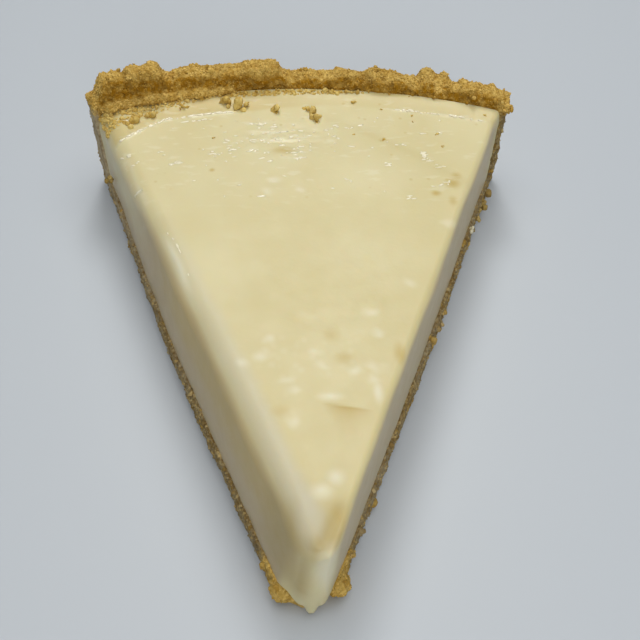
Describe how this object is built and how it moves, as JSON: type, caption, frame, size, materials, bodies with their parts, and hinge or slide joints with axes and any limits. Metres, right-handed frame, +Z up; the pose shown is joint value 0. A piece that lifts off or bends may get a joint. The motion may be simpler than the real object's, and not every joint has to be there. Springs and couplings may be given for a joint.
{
  "type": "slice of key lime pie",
  "caption": "Cut wedge of custard pie: a craggy pressed crumb crust with an upright rim at the back, filled with smooth pale set custard to a blunt tip.",
  "frame": {"origin": "middle of the slice's box at its underside, on the surface that it rests on", "axes": "+Z up, +Y from the tip towards the rim along the slice's middle, +X to the right seen from the tip"},
  "size_m": [0.0857, 0.1055, 0.0283],
  "materials": {
    "crust": "dry, rough, granular baked crumb",
    "filling": "smooth, slightly moist set custard with a soft gloss"
  },
  "bodies": {
    "root": {"crust": "crust", "filling": "filling"}
  },
  "joints": []
}
